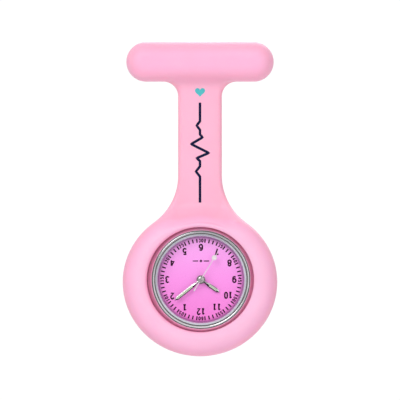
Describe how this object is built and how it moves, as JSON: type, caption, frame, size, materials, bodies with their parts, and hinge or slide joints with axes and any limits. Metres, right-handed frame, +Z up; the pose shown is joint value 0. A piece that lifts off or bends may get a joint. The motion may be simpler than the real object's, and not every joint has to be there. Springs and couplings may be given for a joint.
{
  "type": "fob watch",
  "caption": "Nurse's fob watch: an analogue quartz watch head held upside down in a soft silicone strap that hangs from a padded bar with a pin brooch behind it.",
  "frame": {"origin": "middle of the brooch needle's axis, behind the top bar", "axes": "+Z up as the watch hangs, +Y out of the back towards the clothes, so the dial faces -Y and +X is to the right seen from the front"},
  "size_m": [0.0418, 0.0116, 0.0848],
  "materials": {
    "pink_silicone": "satin moulded silicone",
    "brooch_steel": "nickel-plated",
    "case_chrome": "polished",
    "back_steel": "circular brushed",
    "crystal_glass": "clear mineral glass",
    "dark_seal": "moulded",
    "silver_flange": "metallised",
    "dial_pink": "satin lacquer",
    "steel_parts": "fine",
    "stator_alloy": "rolled sheet",
    "plate_brass": "grained",
    "brass_wheel": "turned",
    "wheel_plastic": "moulded",
    "white_plastic": "moulded",
    "copper_wire": "enamelled wire",
    "board_green": "solder mask",
    "black_resin": "moulded",
    "battery_can": "plated",
    "magnet_grey": "sintered",
    "hand_silver": "polished",
    "lume_pale": "filled"
  },
  "bodies": {
    "holder": {"silicone_holder": "pink_silicone", "pin_base_plate": "brooch_steel", "pin_hinge_rivet": "brooch_steel", "catch_body": "brooch_steel", "case_middle": "case_chrome", "bezel_ring": "case_chrome", "crystal": "crystal_glass", "crystal_gasket": "dark_seal", "rehaut_ring": "silver_flange", "dial": "dial_pink", "dial_washer": "brass_wheel", "main_plate": "plate_brass", "train_bridge": "plate_brass", "movement_screws": "steel_parts", "stator": "stator_alloy", "coil_core": "stator_alloy", "coil_winding": "copper_wire", "circuit_board": "board_green", "quartz_resonator": "steel_parts", "ic_chip": "black_resin", "battery": "battery_can", "battery_clip": "steel_parts", "case_tube": "steel_parts", "movement_ring": "white_plastic", "case_back": "back_steel", "case_back_gasket": "dark_seal"},
    "needle": {"pin_needle": "brooch_steel"},
    "safety_drum": {"catch_drum": "brooch_steel"},
    "seconds": {"second_wheel": "brass_wheel", "second_hand": "hand_silver"},
    "minutes": {"center_wheel": "brass_wheel", "cannon_pinion": "brass_wheel", "minute_hand": "hand_silver", "minute_hand_lume": "lume_pale"},
    "hours": {"hour_wheel": "brass_wheel", "hour_hand": "hand_silver", "hour_hand_lume": "lume_pale"},
    "third": {"third_wheel": "brass_wheel"},
    "intermediate": {"intermediate_wheel": "wheel_plastic"},
    "rotor": {"rotor_pinion": "wheel_plastic", "rotor_magnet": "magnet_grey"},
    "minute_works": {"minute_wheel": "brass_wheel"},
    "setting": {"setting_wheel": "brass_wheel"},
    "crown_slide": {"crown_gasket": "dark_seal"},
    "crown": {"crown": "case_chrome", "stem": "steel_parts"},
    "clutch": {"clutch_wheel": "steel_parts"},
    "lever": {"setting_lever": "steel_parts"},
    "yoke": {"yoke": "steel_parts"}
  },
  "joints": [
    {"name": "pin_swing", "type": "hinge", "parent": "holder", "child": "needle", "pos_m": [-0.0125, 0, 0], "axis": [0, 0, 1], "range_deg": [0, 75]},
    {"name": "catch_turn", "type": "hinge", "parent": "holder", "child": "safety_drum", "pos_m": [0.012, 0, 0], "axis": [1, 0, 0], "range_deg": [0, 120]},
    {"name": "crown_pull", "type": "slide", "parent": "holder", "child": "crown_slide", "axis": [-1, 0, 0], "range_m": [0, 0.0006]},
    {"name": "crown_turn", "type": "hinge", "parent": "crown_slide", "child": "crown", "pos_m": [-0.01615, -0.00505, -0.05875], "axis": [-1, 0, 0], "continuous": true},
    {"name": "clutch_shift", "type": "slide", "parent": "crown", "child": "clutch", "axis": [1, 0, 0], "range_m": [0, 0.0009]},
    {"name": "setting_lever_turn", "type": "hinge", "parent": "holder", "child": "lever", "pos_m": [-0.00805, -0.0059, -0.06075], "axis": [0, -1, 0], "range_deg": [0, 22.5]},
    {"name": "yoke_turn", "type": "hinge", "parent": "holder", "child": "yoke", "pos_m": [-0.00628, -0.0059, -0.06095], "axis": [0, 1, 0], "range_deg": [0, 11]},
    {"name": "second_hand_turn", "type": "hinge", "parent": "holder", "child": "seconds", "pos_m": [0.00025, -0.0059, -0.05875], "axis": [0, 1, 0], "continuous": true},
    {"name": "minute_hand_turn", "type": "hinge", "parent": "holder", "child": "minutes", "pos_m": [0.00025, -0.0059, -0.05875], "axis": [0, 1, 0], "continuous": true},
    {"name": "hour_hand_turn", "type": "hinge", "parent": "holder", "child": "hours", "pos_m": [0.00025, -0.0059, -0.05875], "axis": [0, 1, 0], "continuous": true},
    {"name": "third_wheel_turn", "type": "hinge", "parent": "holder", "child": "third", "pos_m": [0.00337, -0.0059, -0.06055], "axis": [0, 1, 0], "continuous": true},
    {"name": "intermediate_wheel_turn", "type": "hinge", "parent": "holder", "child": "intermediate", "pos_m": [-0.00068, -0.0059, -0.06223], "axis": [0, 1, 0], "continuous": true},
    {"name": "rotor_turn", "type": "hinge", "parent": "holder", "child": "rotor", "pos_m": [-0.00248, -0.0059, -0.06437], "axis": [0, 1, 0], "continuous": true},
    {"name": "minute_wheel_turn", "type": "hinge", "parent": "holder", "child": "minute_works", "pos_m": [-0.00176, -0.0059, -0.05652], "axis": [0, 1, 0], "continuous": true},
    {"name": "setting_wheel_turn", "type": "hinge", "parent": "holder", "child": "setting", "pos_m": [-0.00412, -0.0059, -0.05875], "axis": [0, 1, 0], "continuous": true}
  ],
  "couplings": [
    {"joint": "third_wheel_turn", "follows": "second_hand_turn", "ratio": -0.13333},
    {"joint": "minute_hand_turn", "follows": "second_hand_turn", "ratio": 0.016667},
    {"joint": "minute_wheel_turn", "follows": "second_hand_turn", "ratio": -0.0055556},
    {"joint": "hour_hand_turn", "follows": "second_hand_turn", "ratio": 0.0013889},
    {"joint": "setting_wheel_turn", "follows": "second_hand_turn", "ratio": 0.0125},
    {"joint": "intermediate_wheel_turn", "follows": "second_hand_turn", "ratio": -5},
    {"joint": "rotor_turn", "follows": "second_hand_turn", "ratio": 30},
    {"joint": "clutch_shift", "follows": "crown_pull", "ratio": 1.5},
    {"joint": "setting_lever_turn", "follows": "crown_pull", "rad_per_m": 649.2},
    {"joint": "yoke_turn", "follows": "crown_pull", "rad_per_m": 310.43}
  ]
}
